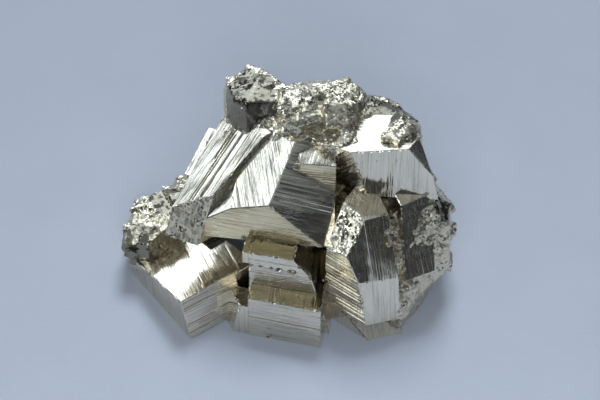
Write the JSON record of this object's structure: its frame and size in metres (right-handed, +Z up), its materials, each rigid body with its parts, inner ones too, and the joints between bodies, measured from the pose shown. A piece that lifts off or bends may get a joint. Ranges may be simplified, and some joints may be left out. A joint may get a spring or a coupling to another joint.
{
  "type": "pyrite specimen",
  "caption": "Hand specimen of pyrite: striated cubes and blocks grown into each other, stepped like stairs, with rough glittering masses of small crystals between them.",
  "frame": {"origin": "middle of the box, at the level of the flat that the specimen stands on", "axes": "+Z up; +X along the specimen's longest side, to the right when its stair faces the viewer; -Y towards the stair"},
  "size_m": [0.0607, 0.0451, 0.0358],
  "materials": {
    "pyrite": "bright natural metallic crystal faces, silver with a pale brassy tint, striated; rough and glittering between them"
  },
  "bodies": {
    "root": {"pyrite_cluster": "pyrite"}
  },
  "joints": []
}
